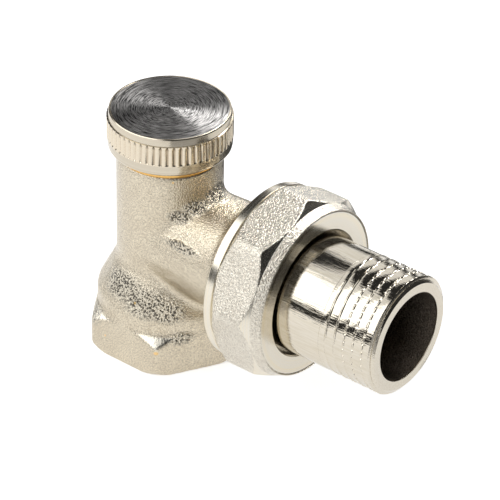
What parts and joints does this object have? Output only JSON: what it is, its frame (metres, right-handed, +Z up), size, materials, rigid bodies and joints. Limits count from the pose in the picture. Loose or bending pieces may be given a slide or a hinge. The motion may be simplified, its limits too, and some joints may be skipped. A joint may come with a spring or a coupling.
{
  "type": "angle balancing valve",
  "caption": "Angle radiator balancing valve: hexagon inlet at the bottom, domed body, knurled cap over a key-set spindle, and a side union nut with a threaded tail.",
  "frame": {"origin": "centre of the hexagon base's bottom face, at the mouth of the inlet thread", "axes": "+Z up the valve axis, from the inlet to the cap; +X out along the union branch and tail"},
  "size_m": [0.0648, 0.0332, 0.0457],
  "materials": {
    "nickel_forged": "nickel plated over a blasted forging, satin with a fine grain",
    "nickel_turned": "nickel plated over turned brass, bright",
    "bare_brass": "turned, unplated",
    "seal_rubber": "matt black"
  },
  "bodies": {
    "body": {"valve_body": "nickel_forged", "bonnet": "bare_brass", "bonnet_oring": "seal_rubber"},
    "cap_seal": {"cap_gasket": "seal_rubber"},
    "cap": {"cap": "nickel_turned"},
    "closing_plug": {"plug": "bare_brass", "plug_gasket": "seal_rubber", "gasket_nut": "bare_brass"},
    "spindle": {"spindle": "bare_brass", "spindle_oring_lower": "seal_rubber", "spindle_oring_upper": "seal_rubber"},
    "tail": {"tailpiece": "nickel_turned", "tail_oring": "seal_rubber"},
    "union_nut": {"union_nut": "nickel_forged"}
  },
  "joints": [
    {"name": "cap_lift", "type": "slide", "parent": "body", "child": "cap_seal", "axis": [0, 0, 1], "range_m": [0, 0.005]},
    {"name": "cap_turn", "type": "hinge", "parent": "cap_seal", "child": "cap", "pos_m": [0, 0, 0.042], "axis": [0, 0, 1], "range_deg": [0, 1800]},
    {"name": "plug_lift", "type": "slide", "parent": "body", "child": "closing_plug", "axis": [0, 0, 1], "range_m": [0, 0.004]},
    {"name": "spindle_turn", "type": "hinge", "parent": "closing_plug", "child": "spindle", "pos_m": [0, 0, 0.03], "axis": [0, 0, 1], "range_deg": [0, 1440]},
    {"name": "tail_draw", "type": "slide", "parent": "body", "child": "tail", "axis": [1, 0, 0], "range_m": [0, 0.00544]},
    {"name": "nut_turn", "type": "hinge", "parent": "tail", "child": "union_nut", "pos_m": [0.0256, 0, 0.022], "axis": [1, 0, 0], "range_deg": [0, 1080]}
  ],
  "couplings": [
    {"joint": "cap_lift", "follows": "cap_turn", "m_per_rad": 0.00015915},
    {"joint": "plug_lift", "follows": "spindle_turn", "m_per_rad": 0.00015915},
    {"joint": "tail_draw", "follows": "nut_turn", "m_per_rad": 0.00028871}
  ]
}
